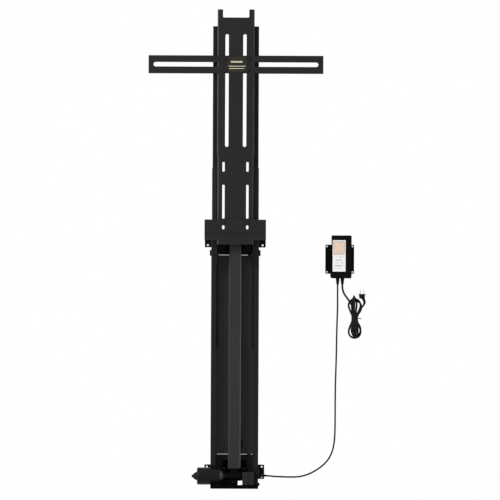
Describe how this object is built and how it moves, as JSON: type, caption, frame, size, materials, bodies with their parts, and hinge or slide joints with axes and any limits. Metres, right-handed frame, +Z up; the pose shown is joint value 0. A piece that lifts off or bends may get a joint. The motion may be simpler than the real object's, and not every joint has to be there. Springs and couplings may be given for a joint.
{
  "type": "tv lift mechanism",
  "caption": "Motorised television lift: telescopic steel column with a lead screw drive, slotted cross bar, lid pushers and a separate control box.",
  "frame": {"origin": "centre of the lower bracket's four wall screw holes, on the plane of the cabinet's back panel; the foot's underside is 57 mm below", "axes": "+Z up along the lifting direction, +Y into the cabinet's back panel, -Y to the front, +X to the right seen from the front"},
  "size_m": [0.786, 0.1012, 1.722],
  "materials": {
    "black_steel": "satin black powder coat",
    "cover_steel": "satin charcoal powder coat",
    "motor_paint": "semi-gloss black paint",
    "cast_grey": "die-cast, dull grey",
    "bright_steel": "ground steel",
    "zinc_steel": "zinc-plated",
    "black_bolts": "black oxide",
    "bronze": "sintered bronze",
    "nylon": "natural nylon",
    "black_plastic": "fine-textured moulded plastic",
    "black_rubber": "matte moulded rubber",
    "cord_jacket": "smooth vinyl jacket",
    "board": "solder-masked board",
    "plug_metal": "nickel-plated brass"
  },
  "bodies": {
    "base": {"foot_plate": "black_steel", "lower_bracket": "black_steel", "upper_bracket": "black_steel", "back_panel": "black_steel", "base_rail_left": "black_steel", "base_rail_right": "black_steel", "base_guide_pads": "nylon", "side_glide_buttons": "black_plastic", "screw_cover": "cover_steel", "top_bearing_bracket": "black_steel", "top_bush": "bronze", "gearbox_bracket": "black_steel", "thrust_bearing": "bright_steel", "gearbox_housing": "cast_grey", "gearbox_cover": "cast_grey", "gearbox_bolts": "zinc_steel", "motor_can": "motor_paint", "motor_nose": "cast_grey", "motor_end_cap": "motor_paint", "motor_saddle": "black_steel", "terminal_box": "black_plastic", "terminal_box_lid": "black_plastic", "terminal_block": "nylon", "panel_screws": "zinc_steel", "lead_clamp": "black_rubber", "earth_bolt": "zinc_steel", "limit_sensors": "black_plastic", "controller_base": "black_plastic", "controller_cover": "black_plastic", "controller_end_cap": "black_plastic", "controller_board": "board", "controller_glands": "black_rubber", "motor_lead": "cord_jacket", "mains_lead": "cord_jacket", "mains_hank": "cord_jacket", "hank_tie": "black_plastic", "plug_body": "black_rubber", "plug_blades": "plug_metal"},
    "middle_stage": {"mid_rail_left": "black_steel", "mid_rail_right": "black_steel", "mid_tie_panel": "black_steel", "mid_guide_pads": "nylon"},
    "carriage": {"carriage_plate": "black_steel", "lower_plate": "black_steel", "cross_plate": "black_steel", "inner_rail_left": "black_steel", "inner_rail_right": "black_steel", "inner_guide_pads": "nylon", "crossbar": "black_steel", "carriage_bolts": "black_bolts", "drive_nut": "bronze", "nut_carrier": "black_steel", "nut_screws": "zinc_steel", "shoe_brackets": "black_steel", "glide_shoes": "nylon", "sensor_magnet": "bright_steel"},
    "screw": {"lead_screw": "bright_steel", "worm_wheel": "nylon"},
    "worm": {"worm_shaft": "bright_steel"}
  },
  "joints": [
    {"name": "carriage_slide", "type": "slide", "parent": "base", "child": "carriage", "axis": [0, 0, 1], "range_m": [-0.7, 0]},
    {"name": "middle_slide", "type": "slide", "parent": "base", "child": "middle_stage", "axis": [0, 0, 1], "range_m": [-0.35, 0]},
    {"name": "screw_spin", "type": "hinge", "parent": "base", "child": "screw", "pos_m": [0, -0.034, 0.4], "axis": [0, 0, 1], "range_deg": [0, 12601]},
    {"name": "worm_spin", "type": "hinge", "parent": "base", "child": "worm", "pos_m": [0, -0.064, -0.013], "axis": [1, 0, 0], "range_deg": [-189015, 0]}
  ],
  "couplings": [
    {"joint": "middle_slide", "follows": "carriage_slide", "ratio": 0.5},
    {"joint": "screw_spin", "follows": "carriage_slide", "rad_per_m": -314.16},
    {"joint": "worm_spin", "follows": "carriage_slide", "rad_per_m": 4712.4}
  ]
}
